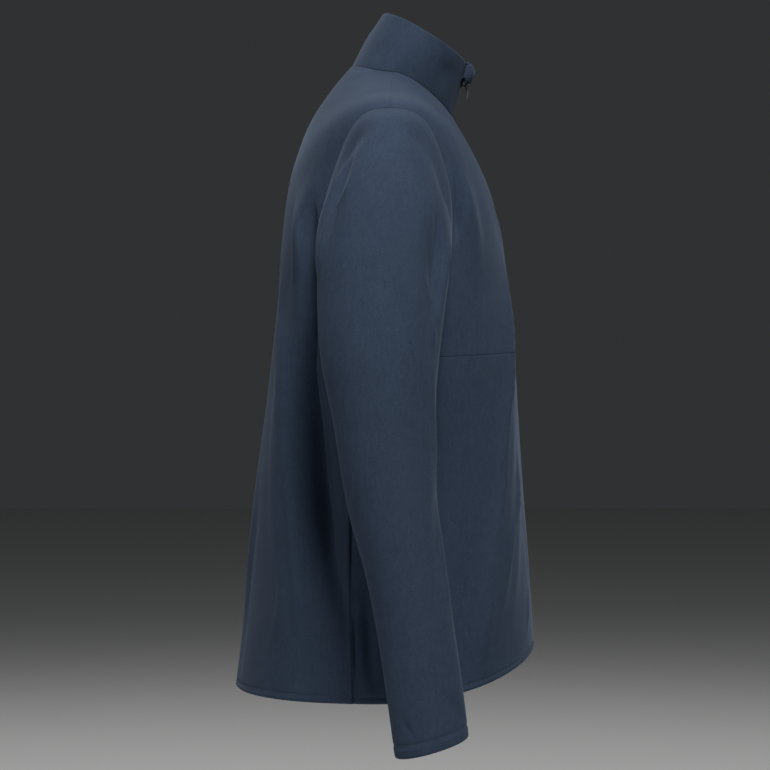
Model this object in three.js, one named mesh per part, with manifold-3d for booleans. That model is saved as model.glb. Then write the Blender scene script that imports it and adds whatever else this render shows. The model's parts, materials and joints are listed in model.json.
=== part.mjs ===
// Fleece jacket with a full front zip, worn but with no wearer: a hollow form of thin cloth walls.
// Millimetres, +Z up. The jacket faces -Y and the wearer's right arm is on the -X side.
// The origin is the middle of the neck opening, level with the collar seam.
import * as THREE from 'three';
import { mergeVertices } from 'three/addons/utils/BufferGeometryUtils.js';
import Module from 'manifold-3d';

const clothThickness = 2.4;
const collarThickness = 3.0; // two layers
const seamGap = 0.3; // between two neighbouring pieces
const sideSeamAngle = { hem: 101.5, underarm: 101, lean: 4 }; // degrees round from the zip
const zipOpening = 6.5; // from the zip's middle to each front edge
const chestSeamUp = 374; // heights up the side of the body, from the hem
const underarmUp = 386;
const shoulderTipUp = 643;
const neckUp = 787;
const radians = Math.PI / 180;

// The rows of a table as objects, from the names of its columns.
function table(columns, rows) {
  return rows.map((row) => Object.fromEntries(columns.map((name, k) => [name, row[k]])));
}

// Rings round the body, from the hem up over the shoulders to the neck. Each gives its half width,
// its side point, its front point and its back point. full swells it between these points, and
// sweep says how long the sides stay level before they drop to the front and back.
const ringColumns = ['up', 'width', 'sideY', 'sideZ', 'frontY', 'frontZ', 'backY', 'backZ', 'full', 'sweep'];
const bodyRings = table(ringColumns, [
  [0, 203, 18, -686, -153, -640, 190, -685, 0.05, 2],
  [101, 204, 16, -585, -148, -560, 178.5, -585, 0.05, 2],
  [216, 207, 13, -470, -140, -455, 167, -470, 0.05, 2],
  [301, 211, 12, -385, -135, -378, 158, -385, 0.05, 2],
  [374, 215, 11, -312, -130.5, -303, 149, -312, 0.06, 2],
  [446, 216, 12, -240, -125, -240, 142.7, -250, 0.06, 2],
  [516, 216, 12, -170, -118, -190, 139, -190, 0.055, 2.1],
  [581, 215, 12, -105, -110.5, -150, 133, -135, 0.035, 2.3],
  [643, 211, 13, -43, -101.5, -117, 124.5, -92, -0.02, 2.4],
  [712, 150, 12, -17, -84.5, -78, 105, -39, -0.02, 2.1],
  [761, 105, 10, 2, -69, -50, 80, -1, 0, 1.8],
  [787, 81, 8, 11.5, -59, -32, 57.9, 25.5, 0, 1.5],
]);

// Rings round the stand collar, from its seam to its top edge, which leans forward.
const collarRings = table(ringColumns, [
  [0, 81, 8, 11.5, -59, -32, 57.9, 25.5, 0, 1.5],
  [34, 79.5, -9, 35, -67, -1, 40.5, 56, 0, 1.25],
  [68, 76, -27.6, 59, -76, 30, 20.8, 87.9, 0, 1],
]);
const collarHeight = collarRings.at(-1).up;

// The armhole is an oval on the body: its middle line runs from the side seam to the shoulder point.
const armhole = { front: 35, back: 31, topSquareness: 0.6, lowSquareness: 0.9 }; // spreads in degrees

// Sections of the right sleeve, by the distance down its outer line: outer and inner points, front and back
// edges, and how far the front edge rises above the section's middle.
const sleeveSections = table(['down', 'outX', 'outZ', 'inX', 'inZ', 'frontY', 'backY', 'rise'], [
  [0, 211, -43, 216, -300, -57, 91, 0],
  [30, 235, -57, 219, -304, -56, 92, 0],
  [65, 256, -83, 221, -308, -53, 92, 0],
  [110, 277, -119, 222, -312, -50, 92, 0],
  [165, 296, -168, 222, -317, -46.5, 91, 0],
  [232, 311, -232, 222, -324, -42.5, 89, 0],
  [300, 321, -300, 222, -336, -38.5, 85, 2],
  [362, 324, -362, 224, -372, -35, 75, 5],
  [462, 326, -462, 234, -458, -36.5, 56.5, 7],
  [567, 328, -567, 249, -562, -48.5, 31.5, 9],
  [667, 330, -667, 264, -662, -62.5, 16, 10],
  [721, 331, -721, 271, -715, -69.5, 8, 11],
]);
const sleeveLift = 0.9; // the sleeve's edge stands this far outside the body's face
const sleeveFade = 130; // the armhole's own outline has faded into the round sections by here
const sleeveLength = sleeveSections.at(-1).down;

// Largest folds. angle is in degrees round from the zip, up is the height along the body, depth is
// outward, width is half the fold's width, and left is its strength on the wearer's left side.
const bodyFolds = table(['name', 'lowAngle', 'highAngle', 'lowUp', 'highUp', 'depth', 'width', 'left'], [
  ['back_long_ridge', 121, 153, -40, 500, 10, 26, 0.8],
  ['back_long_valley', 110, 130, 60, 420, -18, 23, 0.9],
  ['back_armhole_ridge', 136, 137, 400, 610, 6, 20, 0.9],
  ['front_long_ridge', 56, 21, -40, 480, 9, 22, 0.9],
  ['front_short_ridge', 42, 18, 20, 320, 4, 16, 0.7],
  ['front_armhole_ridge', 48, 53, 440, 650, 6, 18, 0.8],
  ['front_side_valley', 86, 70, -60, 350, -11, 25, 0.9],
]);
const bodyArcPerRadian = 190;

// The same for the sleeves: angle runs round from the outer line over the front edge.
const sleeveFolds = table([
  'name', 'lowAngle', 'highAngle', 'lowDown', 'highDown', 'depth', 'width', 'left',
], [
  ['cap_back_ridge', 276, 318, 160, 5, 4, 17, 0.9],
  ['cap_back_valley', 300, 330, 190, 15, -6, 13, 1],
  ['front_valley', 62, 56, 320, 80, -8, 15, 0.8],
  ['elbow_back_ridge', 252, 300, 560, 330, 2, 16, 1],
  ['forearm_valley', 40, 88, 590, 430, -3, 16, 1],
]);
const sleeveArcPerRadian = 62;

const grids = {
  frontColumns: 11, lowerRows: 11, armholeRows: 10, shoulderRows: 3, backColumns: 28,
  sleeveRows: 20, collarColumns: 24, collarRows: 4, zipRows: 24,
  garageRows: 7, garageColumns: 12,
};

const zip = { coilHalf: 3.2, coilTop: -0.5, tapeHalf: 13, tapeThickness: 0.9, ease: 0.4 };
const slider = {
  length: 13, topWidth: 10.8, lowWidth: 9.6, plateBase: -0.2, plateTop: 1.5, // out of the cloth's face
  cornerLow: 1.4, cornerTop: 2.4, skirt: 1.7, skirtWidth: 1.3, skirtShort: 5,
};
const bridge = { length: 7.6, width: 2.4, strap: 1.1, clearance: 0.5, shoulder: 1.6, foot: 0.4 };
const pivot = { y: -74.7, z: 8 }; // the pull tab turns about this line, which runs from side to side
const pullTab = {
  length: 20.5, width: 6.6, thickness: 1.6, bow: 2.4, corner: 2, // bow is how far its middle stands forward
  ringWidth: 6, ringLow: 6.8, wideFrom: 9, ringHole: 3.6, ringHoleLow: 5.4, pin: 1.2,
};
const garage = {
  halfWidth: 14, lowUp: 46, wall: 1.8, // lowUp is the height of its mouth above the collar's seam
  mouthDepth: 8.4, fullDepth: 10.6, topDepth: 3.4, peak: 0.4, // depths in front of the cloth, fullest at peak
};

const fleeceBlue = new THREE.MeshStandardMaterial({ color: 0x3c4658, roughness: 0.95, metalness: 0 });
const tapeNavy = new THREE.MeshStandardMaterial({ color: 0x1e2430, roughness: 0.85, metalness: 0 });
const darkMetal = new THREE.MeshStandardMaterial({ color: 0x3a3f45, roughness: 0.45, metalness: 0.8 });
const pullGrey = new THREE.MeshStandardMaterial({ color: 0x5d6a68, roughness: 0.6, metalness: 0.1 });

// Every number of a table at one value of its key, on a smooth curve through the rows.
function rowAt(table, key, value) {
  let k = 0;
  while (k < table.length - 2 && value > table[k + 1][key]) k += 1;
  const low = table[k];
  const high = table[k + 1];
  const before = table[k - 1] ?? low;
  const after = table[k + 2] ?? high;
  const span = high[key] - low[key];
  const t = (value - low[key]) / span;
  const row = {};
  for (const name of Object.keys(low)) {
    const start = low[name];
    const end = high[name];
    const slopeIn = ((end - before[name]) / (high[key] - before[key])) * span;
    const slopeOut = ((after[name] - start) / (after[key] - low[key])) * span;
    const bend = start - end;
    const square = -3 * bend - 2 * slopeIn - slopeOut;
    const cube = 2 * bend + slopeIn + slopeOut;
    row[name] = start + t * (slopeIn + t * (square + t * cube));
  }
  return row;
}

const mix = (a, b, t) => a + (b - a) * t;
const clamp01 = (t) => Math.min(1, Math.max(0, t));
const smooth = (t) => clamp01(t) ** 2 * (3 - 2 * clamp01(t));

// Height of all folds at one place: each is a soft ridge that fades out at both ends.
function foldHeight(folds, key, angle, along, arcPerRadian, leftSide) {
  let height = 0;
  for (const fold of folds) {
    const low = fold[`low${key}`];
    const share = (along - low) / (fold[`high${key}`] - low);
    if (share <= 0 || share >= 1) continue;
    const foldAngle = mix(fold.lowAngle, fold.highAngle, share) * radians;
    const across = ((angle - foldAngle) * arcPerRadian) / fold.width;
    const depth = fold.depth * (leftSide ? fold.left : 1);
    height += depth * Math.sin(Math.PI * share) * Math.exp(-across * across);
  }
  return height;
}

// A point on a ring. The angle is 0 at the zip, a quarter turn at the wearer's right side, half a turn
// at the middle of the back, and more than that on the wearer's left.
function ringPoint(ring, angle) {
  const forward = Math.cos(angle);
  const swell = 1 + ring.full * Math.sin(2 * angle) ** 2;
  const endY = forward > 0 ? ring.frontY : ring.backY;
  const endZ = forward > 0 ? ring.frontZ : ring.backZ;
  const reach = Math.abs(forward);
  return new THREE.Vector3(
    -ring.width * Math.sin(angle) * swell,
    ring.sideY + (endY - ring.sideY) * reach * swell,
    ring.sideZ + (endZ - ring.sideZ) * reach ** ring.sweep,
  );
}

function outwardAt(surface, angle, up) {
  const step = 0.004;
  const across = surface(angle + step, up).sub(surface(angle - step, up));
  const along = surface(angle, up + 1).sub(surface(angle, up - 1));
  return along.cross(across).normalize();
}

const plainBody = (angle, up) => ringPoint(rowAt(bodyRings, 'up', up), angle);
const collarSurface = (angle, up) => ringPoint(rowAt(collarRings, 'up', up), angle);

function bodySurface(angle, up) {
  const leftSide = angle > Math.PI;
  const fromZip = leftSide ? 2 * Math.PI - angle : angle;
  const height = foldHeight(bodyFolds, 'Up', fromZip, up, bodyArcPerRadian, leftSide);
  return plainBody(angle, up).addScaledVector(outwardAt(plainBody, angle, up), height);
}

// The side seam leans to the back between the hem and the underarm.
function sideSeamAt(up) {
  const share = up / underarmUp;
  const lean = sideSeamAngle.lean * Math.sin(Math.PI * clamp01(share));
  return (mix(sideSeamAngle.hem, sideSeamAngle.underarm, share) + lean) * radians;
}

// The armhole's oval at a turn from the shoulder point (0) over the front edge. inset makes it smaller.
function armholeAt(turn, inset) {
  const middle = (shoulderTipUp + underarmUp) / 2;
  const half = (shoulderTipUp - underarmUp) / 2 - inset;
  const up = middle + half * Math.cos(turn);
  const line = mix(sideSeamAngle.underarm, 90, clamp01((up - underarmUp) / (shoulderTipUp - underarmUp)));
  const squareness = mix(armhole.lowSquareness, armhole.topSquareness, (1 + Math.cos(turn)) / 2);
  const spread = Math.abs(Math.sin(turn)) ** squareness;
  const side = Math.sin(turn) > 0 ? -armhole.front : armhole.back;
  const shrink = (Math.sign(side) * inset) / bodyArcPerRadian;
  return { angle: (line + side * spread) * radians - shrink * spread, up };
}

// One point of a wall: its place on the outer face, and the place behind it on the inner face.
function wallCell(surface, across, along, thickness) {
  const outer = surface(across, along);
  return { outer, inner: outer.clone().addScaledVector(outwardAt(surface, across, along), -thickness) };
}

// A closed wall of cloth from a grid of such cells.
function wallGeometry(grid, closedAcross) {
  const rows = grid.length;
  const columns = grid[0].length;
  const cells = grid.flat();
  const points = [...cells.map((cell) => cell.outer), ...cells.map((cell) => cell.inner)];
  const index = (layer, j, i) => (layer * rows + j) * columns + (i % columns);
  const faces = [];
  const quad = (a, b, c, d) => {
    const straight = points[a].distanceTo(points[c]) <= points[b].distanceTo(points[d]);
    faces.push(...(straight ? [a, b, c, a, c, d] : [a, b, d, b, c, d]));
  };
  const lastColumn = closedAcross ? columns : columns - 1;
  for (let j = 0; j < rows - 1; j += 1) {
    for (let i = 0; i < lastColumn; i += 1) {
      quad(index(0, j, i), index(0, j + 1, i), index(0, j + 1, i + 1), index(0, j, i + 1));
      quad(index(1, j, i), index(1, j, i + 1), index(1, j + 1, i + 1), index(1, j + 1, i));
    }
  }
  for (let i = 0; i < lastColumn; i += 1) {
    quad(index(0, 0, i), index(0, 0, i + 1), index(1, 0, i + 1), index(1, 0, i));
    quad(index(0, rows - 1, i), index(1, rows - 1, i), index(1, rows - 1, i + 1), index(0, rows - 1, i + 1));
  }
  if (!closedAcross) {
    for (let j = 0; j < rows - 1; j += 1) {
      quad(index(0, j, 0), index(1, j, 0), index(1, j + 1, 0), index(0, j + 1, 0));
      const end = columns - 1;
      quad(index(0, j, end), index(0, j + 1, end), index(1, j + 1, end), index(1, j, end));
    }
  }
  return closedGeometry(points, faces);
}

// Geometry from points and triangles, turned so that its faces point outwards.
function closedGeometry(points, faces) {
  let volume = 0;
  for (let k = 0; k < faces.length; k += 3) {
    const [a, b, c] = [points[faces[k]], points[faces[k + 1]], points[faces[k + 2]]];
    volume += a.dot(b.clone().cross(c));
  }
  const turned = volume > 0 ? faces : faces.toReversed();
  const geometry = new THREE.BufferGeometry();
  geometry.setAttribute('position', new THREE.Float32BufferAttribute(points.flatMap((p) => p.toArray()), 3));
  geometry.setIndex(turned);
  geometry.computeVertexNormals();
  return geometry;
}

function mirrored(geometry) {
  const copy = geometry.clone();
  copy.applyMatrix4(new THREE.Matrix4().makeScale(-1, 1, 1));
  copy.setIndex([...copy.getIndex().array].toReversed());
  copy.computeVertexNormals();
  return copy;
}

const evenly = (count) => Array.from({ length: count + 1 }, (unused, k) => k / count);
const zipEdgeAngle = (rings, up) => Math.asin(zipOpening / rowAt(rings, 'up', up).width);

// Places down a panel's side edge: up the side seam, along the armhole, then along the shoulder seam.
function upperEdge(firstUp, onFront) {
  const half = seamGap / 2;
  const edge = [{ up: firstUp, angle: sideSeamAt(firstUp) }];
  for (const share of evenly(grids.armholeRows)) {
    edge.push(armholeAt(onFront ? Math.PI * (1 - share) : Math.PI * (1 + share), -half));
  }
  for (const share of evenly(grids.shoulderRows).slice(1)) {
    edge.push({ up: mix(shoulderTipUp + half, neckUp - half, share), angle: Math.PI / 2 });
  }
  return edge;
}

function lowerEdge(lastUp) {
  return evenly(grids.lowerRows).map((share) => ({ up: lastUp * share, angle: sideSeamAt(lastUp * share) }));
}

// Heights of a panel's rows where they meet its straight middle line: evenly spread.
const evenRows = (edge) => evenly(edge.length - 1).map((share) => mix(edge[0].up, edge.at(-1).up, share));
const seamAngle = seamGap / 2 / 110; // half a seam's gap as an angle at the side

function frontPanel(edge, leftSide) {
  const middle = evenRows(edge);
  const grid = edge.map((place, j) => evenly(grids.frontColumns).map((share) => {
    const up = mix(middle[j], place.up, share * share);
    const angle = mix(zipEdgeAngle(bodyRings, up), place.angle - seamAngle, share);
    return wallCell(bodySurface, leftSide ? 2 * Math.PI - angle : angle, up, clothThickness);
  }));
  return wallGeometry(grid, false);
}

// The back is one piece. Its columns stand closer towards the sides, where its long folds are.
function backPanel() {
  const lower = lowerEdge(chestSeamUp);
  const upper = upperEdge(chestSeamUp, false);
  const edge = [...lower, ...upper.slice(1)];
  const middle = [...evenRows(lower), ...evenRows(upper).slice(1)];
  const grid = edge.map((place, j) => evenly(grids.backColumns).map((share) => {
    const across = 2 * share - 1;
    const side = across * (1.25 - 0.25 * across * across);
    const up = mix(middle[j], place.up, across * across);
    return wallCell(bodySurface, Math.PI + side * (Math.PI - place.angle - seamAngle), up, clothThickness);
  }));
  return wallGeometry(grid, false);
}

// Turns of the sleeve's columns, so that they meet the corners of both armhole edges.
const sleeveTurns = evenly(2 * grids.armholeRows).slice(0, -1).map((share) => share * 2 * Math.PI);

function sleeveSurface(turn, down, leftSide) {
  const section = rowAt(sleeveSections, 'down', down);
  const outward = Math.cos(turn);
  const forward = Math.sin(turn);
  const point = new THREE.Vector3(
    -mix(section.inX, section.outX, (1 + outward) / 2),
    mix(section.backY, section.frontY, (1 + forward) / 2),
    mix(section.inZ, section.outZ, (1 + outward) / 2) + section.rise * forward,
  );
  const hold = 1 - smooth(down / sleeveFade);
  if (hold > 0) {
    const hole = armholeAt(turn, seamGap / 2);
    const start = bodySurface(leftSide ? 2 * Math.PI - hole.angle : hole.angle, hole.up);
    if (leftSide) start.x *= -1;
    const lift = plainBody(hole.angle, hole.up).setZ(0).normalize().multiplyScalar(sleeveLift);
    const first = rowAt(sleeveSections, 'down', 0);
    const plain = new THREE.Vector3(
      -mix(first.inX, first.outX, (1 + outward) / 2),
      mix(first.backY, first.frontY, (1 + forward) / 2),
      mix(first.inZ, first.outZ, (1 + outward) / 2),
    );
    point.addScaledVector(start.add(lift).sub(plain), hold);
  }
  return point;
}

function foldedSleeve(turn, down, leftSide) {
  const surface = (angle, along) => sleeveSurface(angle, along, leftSide);
  const height = foldHeight(sleeveFolds, 'Down', turn, down, sleeveArcPerRadian, leftSide);
  return surface(turn, down).addScaledVector(outwardAt(surface, turn, down), height);
}

function sleeve(leftSide) {
  const surface = (turn, down) => foldedSleeve(turn, down, leftSide);
  const grid = evenly(grids.sleeveRows).map((share) => (
    sleeveTurns.map((turn) => wallCell(surface, turn, sleeveLength * share, clothThickness))));
  const geometry = wallGeometry(grid, true);
  return leftSide ? mirrored(geometry) : geometry;
}

function collar() {
  const grid = evenly(grids.collarRows).map((rise) => {
    const up = mix(seamGap, collarHeight, rise);
    const start = zipEdgeAngle(collarRings, up);
    return evenly(grids.collarColumns).map((share) => (
      wallCell(collarSurface, mix(start, 2 * Math.PI - start, share), up, collarThickness)));
  });
  return wallGeometry(grid, false);
}

// A point near the zip: x is the distance to the wearer's right of its middle line, along runs from the
// hem to the collar's top, and out is the distance in front of the cloth's face.
function zipPoint(x, along, out) {
  const onBody = along < neckUp;
  const surface = onBody ? plainBody : collarSurface;
  const up = onBody ? along : along - neckUp;
  const ring = rowAt(onBody ? bodyRings : collarRings, 'up', up);
  const angle = Math.asin(x / ring.width);
  return surface(angle, up).addScaledVector(outwardAt(surface, angle, up), out);
}

// Half of the zip's section, as distances to the side and out of the cloth: the tape lies behind the cloth,
// and the coil stands forward between the front edges.
function zipOutline(cloth) {
  const tapeFace = -cloth - seamGap - zip.ease;
  const tapeRear = tapeFace - zip.tapeThickness;
  return [
    [seamGap / 2, tapeRear], [zip.tapeHalf, tapeRear], [zip.tapeHalf, tapeFace], [zip.coilHalf, tapeFace],
    [zip.coilHalf, zip.coilTop - 0.7], [zip.coilHalf - 0.9, zip.coilTop], [1.1, zip.coilTop],
    [seamGap / 2, zip.coilTop - 0.3],
  ];
}

// The right half of the zip: its outline carried up from the hem to the collar's top.
function zipTape() {
  const bodyPlaces = evenly(grids.zipRows).map((share) => share * (neckUp - 2));
  const collarPlaces = evenly(grids.collarRows).map((share) => mix(seamGap, collarHeight - 1, share));
  const places = [...bodyPlaces, ...collarPlaces.map((up) => neckUp + up)];
  const points = places.flatMap((along) => {
    const cloth = along < neckUp - 10 ? clothThickness : collarThickness;
    return zipOutline(cloth).map(([x, out]) => zipPoint(x, along, out));
  });
  const outline = zipOutline(clothThickness);
  const count = outline.length;
  const faces = [];
  for (let j = 0; j < places.length - 1; j += 1) {
    for (let i = 0; i < count; i += 1) {
      const [a, b] = [j * count + i, j * count + ((i + 1) % count)];
      faces.push(a, b, b + count, a, b + count, a + count);
    }
  }
  const top = (places.length - 1) * count;
  const ends = THREE.ShapeUtils.triangulateShape(outline.map(([x, out]) => new THREE.Vector2(x, out)), []);
  for (const [a, b, c] of ends) {
    faces.push(a, c, b, top + a, top + b, top + c);
  }
  return closedGeometry(points, faces);
}

// The garage's outer face, from its open mouth to where it folds over the collar's top edge.
function garageSurface(turn, rise) {
  const along = neckUp + mix(garage.lowUp, collarHeight - 0.5, rise);
  const past = rise < garage.peak ? 1 - rise / garage.peak : (rise - garage.peak) / (1 - garage.peak);
  const depth = mix(rise < garage.peak ? garage.mouthDepth : garage.topDepth, garage.fullDepth,
    Math.sqrt(Math.max(0, 1 - past * past)));
  return zipPoint(garage.halfWidth * Math.cos(turn), along, seamGap + depth * Math.sin(turn));
}

function zipGarage() {
  const grid = evenly(grids.garageRows).map((rise) => evenly(grids.garageColumns).map((share) => {
    const turn = Math.PI * share;
    const outer = garageSurface(turn, rise);
    const step = 0.02;
    const across = garageSurface(turn + step, rise).sub(garageSurface(turn - step, rise));
    const above = garageSurface(turn, Math.min(1, rise + step));
    const along = above.sub(garageSurface(turn, Math.max(0, rise - step)));
    return { outer, inner: outer.clone().addScaledVector(across.cross(along).normalize(), garage.wall) };
  }));
  return wallGeometry(grid, false);
}

const wasm = await Module();
wasm.setup();

function toSolid(geometry) {
  const bare = geometry.clone();
  bare.deleteAttribute('normal');
  bare.deleteAttribute('uv');
  const merged = mergeVertices(bare, 1e-4);
  return new wasm.Manifold(new wasm.Mesh({
    numProp: 3,
    vertProperties: new Float32Array(merged.getAttribute('position').array),
    triVerts: new Uint32Array(merged.getIndex().array),
  }));
}

function fromSolid(solid) {
  const mesh = solid.getMesh();
  const geometry = new THREE.BufferGeometry();
  geometry.setAttribute('position', new THREE.BufferAttribute(new Float32Array(mesh.vertProperties), 3));
  geometry.setIndex([...mesh.triVerts]);
  geometry.computeVertexNormals();
  return geometry;
}

const shapeOf = (points) => new THREE.Shape(points.map(([x, y]) => new THREE.Vector2(x, y)));
const pathOf = (points) => new THREE.Path(points.map(([x, y]) => new THREE.Vector2(x, y)));

// A shape drawn in the side plane, its first number towards the back and its second up, given a width.
function sidewaysPlate(shape, width) {
  const geometry = new THREE.ExtrudeGeometry(shape, { depth: width, bevelEnabled: false, curveSegments: 6 });
  geometry.translate(0, 0, -width / 2);
  const turn = new THREE.Matrix4().makeBasis(
    new THREE.Vector3(0, 1, 0), new THREE.Vector3(0, 0, 1), new THREE.Vector3(1, 0, 0));
  return geometry.applyMatrix4(turn);
}

// A shape drawn from the front, its first number to the side and its second up, given a depth.
function frontPlate(shape, depth) {
  const geometry = new THREE.ExtrudeGeometry(shape, { depth, bevelEnabled: false, curveSegments: 6 });
  geometry.translate(0, 0, -depth / 2);
  const turn = new THREE.Matrix4().makeBasis(
    new THREE.Vector3(1, 0, 0), new THREE.Vector3(0, 0, 1), new THREE.Vector3(0, -1, 0));
  return geometry.applyMatrix4(turn);
}

// The collar's front line is straight, and the slider lies on it at the height of the pivot.
const collarFoot = new THREE.Vector2(collarRings[0].frontY, collarRings[0].frontZ);
const collarTip = new THREE.Vector2(collarRings.at(-1).frontY, collarRings.at(-1).frontZ);
const collarLine = collarTip.clone().sub(collarFoot).normalize();
const pivotUp = new THREE.Vector2(pivot.y, pivot.z).sub(collarFoot).dot(collarLine);
const pivotOut = collarLine.x * (pivot.z - collarFoot.y) - collarLine.y * (pivot.y - collarFoot.x);

// The slider in its own frame: out of the cloth is -Y, up the zip is +Z, and the pivot's foot is its middle.
function sliderGeometry() {
  const { length, topWidth, lowWidth, plateBase, plateTop, cornerLow, cornerTop } = slider;
  const top = length / 2;
  const halfOutline = [
    [lowWidth / 2 - cornerLow, -top], [lowWidth / 2, -top + cornerLow],
    [topWidth / 2, top - cornerTop], [topWidth / 2 - cornerTop, top],
  ];
  const otherHalf = halfOutline.toReversed().map(([x, z]) => [-x, z]);
  const plate = frontPlate(shapeOf([...halfOutline, ...otherHalf]), plateTop - plateBase);
  plate.translate(0, -(plateTop + plateBase) / 2, 0);
  let solid = toSolid(plate);
  for (const side of [-1, 1]) {
    const skirtBox = new THREE.BoxGeometry(slider.skirtWidth, slider.skirt, length - slider.skirtShort);
    const fromMiddle = zip.coilHalf + seamGap + slider.skirtWidth / 2;
    skirtBox.translate(side * fromMiddle, (slider.skirt - plateBase - plateTop) / 2, 0);
    solid = solid.add(toSolid(skirtBox));
  }
  const outer = pivotOut + pullTab.pin / 2 + bridge.clearance + bridge.strap;
  const half = bridge.length / 2;
  const inside = outer - bridge.strap;
  const innerHalf = half - bridge.shoulder;
  const arch = shapeOf([
    [bridge.foot - plateTop, -half], [bridge.shoulder - outer, -half + 0.3], [-outer, -half + 2],
    [-outer, half - 2], [bridge.shoulder - outer, half - 0.3], [bridge.foot - plateTop, half],
  ]);
  arch.holes.push(pathOf([
    [-plateTop, -innerHalf], [-plateTop, innerHalf], [0.8 - inside, innerHalf], [-inside, innerHalf - 0.8],
    [-inside, 0.8 - innerHalf], [0.8 - inside, -innerHalf],
  ]));
  return fromSolid(solid.add(toSolid(sidewaysPlate(arch, bridge.width))));
}

// The pull tab hangs straight down from the pivot, slightly bowed to the front.
function pullTabGeometry() {
  const { length, width, thickness, bow, corner, ringWidth, ringHole, ringHoleLow, pin } = pullTab;
  const bowAt = (drop) => -bow * Math.sin(Math.PI * clamp01((drop - ringHole) / (length - ringHole)));
  const steps = evenly(10).map((share) => share * length);
  const front = steps.map((drop) => [bowAt(drop) - (drop < ringHole ? pin : thickness) / 2, -drop]);
  const rear = steps.map((drop) => [bowAt(drop) + (drop < ringHole ? pin : thickness) / 2, -drop]);
  const top = [[pin * 0.35, pin / 2], [-pin * 0.35, pin / 2]];
  const strip = sidewaysPlate(shapeOf([...rear.toReversed(), ...top, ...front]), width * 2);
  const halfOutline = [
    [width / 2 - corner, -length - 0.1], [width / 2, corner - length], [width / 2, -pullTab.wideFrom],
    [ringWidth / 2, -pullTab.ringLow], [ringWidth / 2, pin],
  ];
  const otherHalf = halfOutline.toReversed().map(([x, z]) => [-x, z]);
  const outline = shapeOf([...halfOutline, ...otherHalf]);
  outline.holes.push(pathOf([
    [-ringHole / 2, -pin / 2], [ringHole / 2, -pin / 2], [ringHole / 2, -ringHoleLow],
    [-ringHole / 2, -ringHoleLow],
  ]));
  return fromSolid(toSolid(strip).intersect(toSolid(frontPlate(outline, 20))));
}

const jacket = new THREE.Group();

function addPiece(name, geometry, material) {
  const mesh = new THREE.Mesh(geometry, material);
  mesh.name = name;
  jacket.add(mesh);
  return mesh;
}

const halfSeam = seamGap / 2;
addPiece('back', backPanel(), fleeceBlue);
for (const [side, leftSide] of [['right', false], ['left', true]]) {
  addPiece(`front_upper_${side}`, frontPanel(upperEdge(chestSeamUp + halfSeam, true), leftSide), fleeceBlue);
  addPiece(`front_lower_${side}`, frontPanel(lowerEdge(chestSeamUp - halfSeam), leftSide), fleeceBlue);
  addPiece(`sleeve_${side}`, sleeve(leftSide), fleeceBlue);
}
addPiece('collar', collar(), fleeceBlue);
addPiece('zip_tape_right', zipTape(), tapeNavy);
addPiece('zip_tape_left', mirrored(zipTape()), tapeNavy);
addPiece('zip_garage', zipGarage(), fleeceBlue);

const sliderMesh = addPiece('slider', sliderGeometry(), darkMetal);
sliderMesh.position.set(0, collarFoot.x + collarLine.x * pivotUp, collarFoot.y + collarLine.y * pivotUp);
sliderMesh.rotation.x = Math.atan2(-collarLine.x, collarLine.y);
const pullMesh = addPiece('pull_tab', pullTabGeometry(), pullGrey);
pullMesh.position.set(0, pivot.y, pivot.z);

export default jacket;
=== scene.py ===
# Fleece jacket with a full front zip, hollow and shaped as it is worn.
# Metres, +Z up, the front to -Y and the right sleeve on the -X side.
import json
import math

import bmesh
import bpy
import numpy as np
from mathutils import Matrix, Vector

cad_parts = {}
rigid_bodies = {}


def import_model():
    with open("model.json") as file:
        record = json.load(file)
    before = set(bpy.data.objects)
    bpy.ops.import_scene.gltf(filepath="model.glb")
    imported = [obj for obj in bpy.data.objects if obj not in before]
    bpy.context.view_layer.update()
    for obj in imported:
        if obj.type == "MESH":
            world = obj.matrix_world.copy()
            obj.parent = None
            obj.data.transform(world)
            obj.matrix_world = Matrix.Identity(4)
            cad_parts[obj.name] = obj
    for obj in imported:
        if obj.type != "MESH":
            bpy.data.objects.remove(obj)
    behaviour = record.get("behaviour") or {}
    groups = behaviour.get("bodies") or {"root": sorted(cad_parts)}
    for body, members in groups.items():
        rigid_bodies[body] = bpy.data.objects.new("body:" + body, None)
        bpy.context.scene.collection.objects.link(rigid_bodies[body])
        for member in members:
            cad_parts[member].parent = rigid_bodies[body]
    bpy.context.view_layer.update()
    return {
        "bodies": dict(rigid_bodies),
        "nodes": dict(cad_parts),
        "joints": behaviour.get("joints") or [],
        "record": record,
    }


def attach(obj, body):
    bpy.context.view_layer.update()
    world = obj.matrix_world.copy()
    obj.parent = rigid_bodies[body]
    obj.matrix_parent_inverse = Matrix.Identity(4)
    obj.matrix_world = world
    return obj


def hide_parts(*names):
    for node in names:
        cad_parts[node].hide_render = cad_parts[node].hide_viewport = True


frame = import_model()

print("frame loaded")

# Cloth is worked out in millimetres and turned into metres when its mesh is made
mm = 0.001
degree = math.pi / 180


def table(columns, *rows):
    names = columns.split()
    return {name: np.array([row[k] for row in rows], float) for k, name in enumerate(names)}


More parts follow.
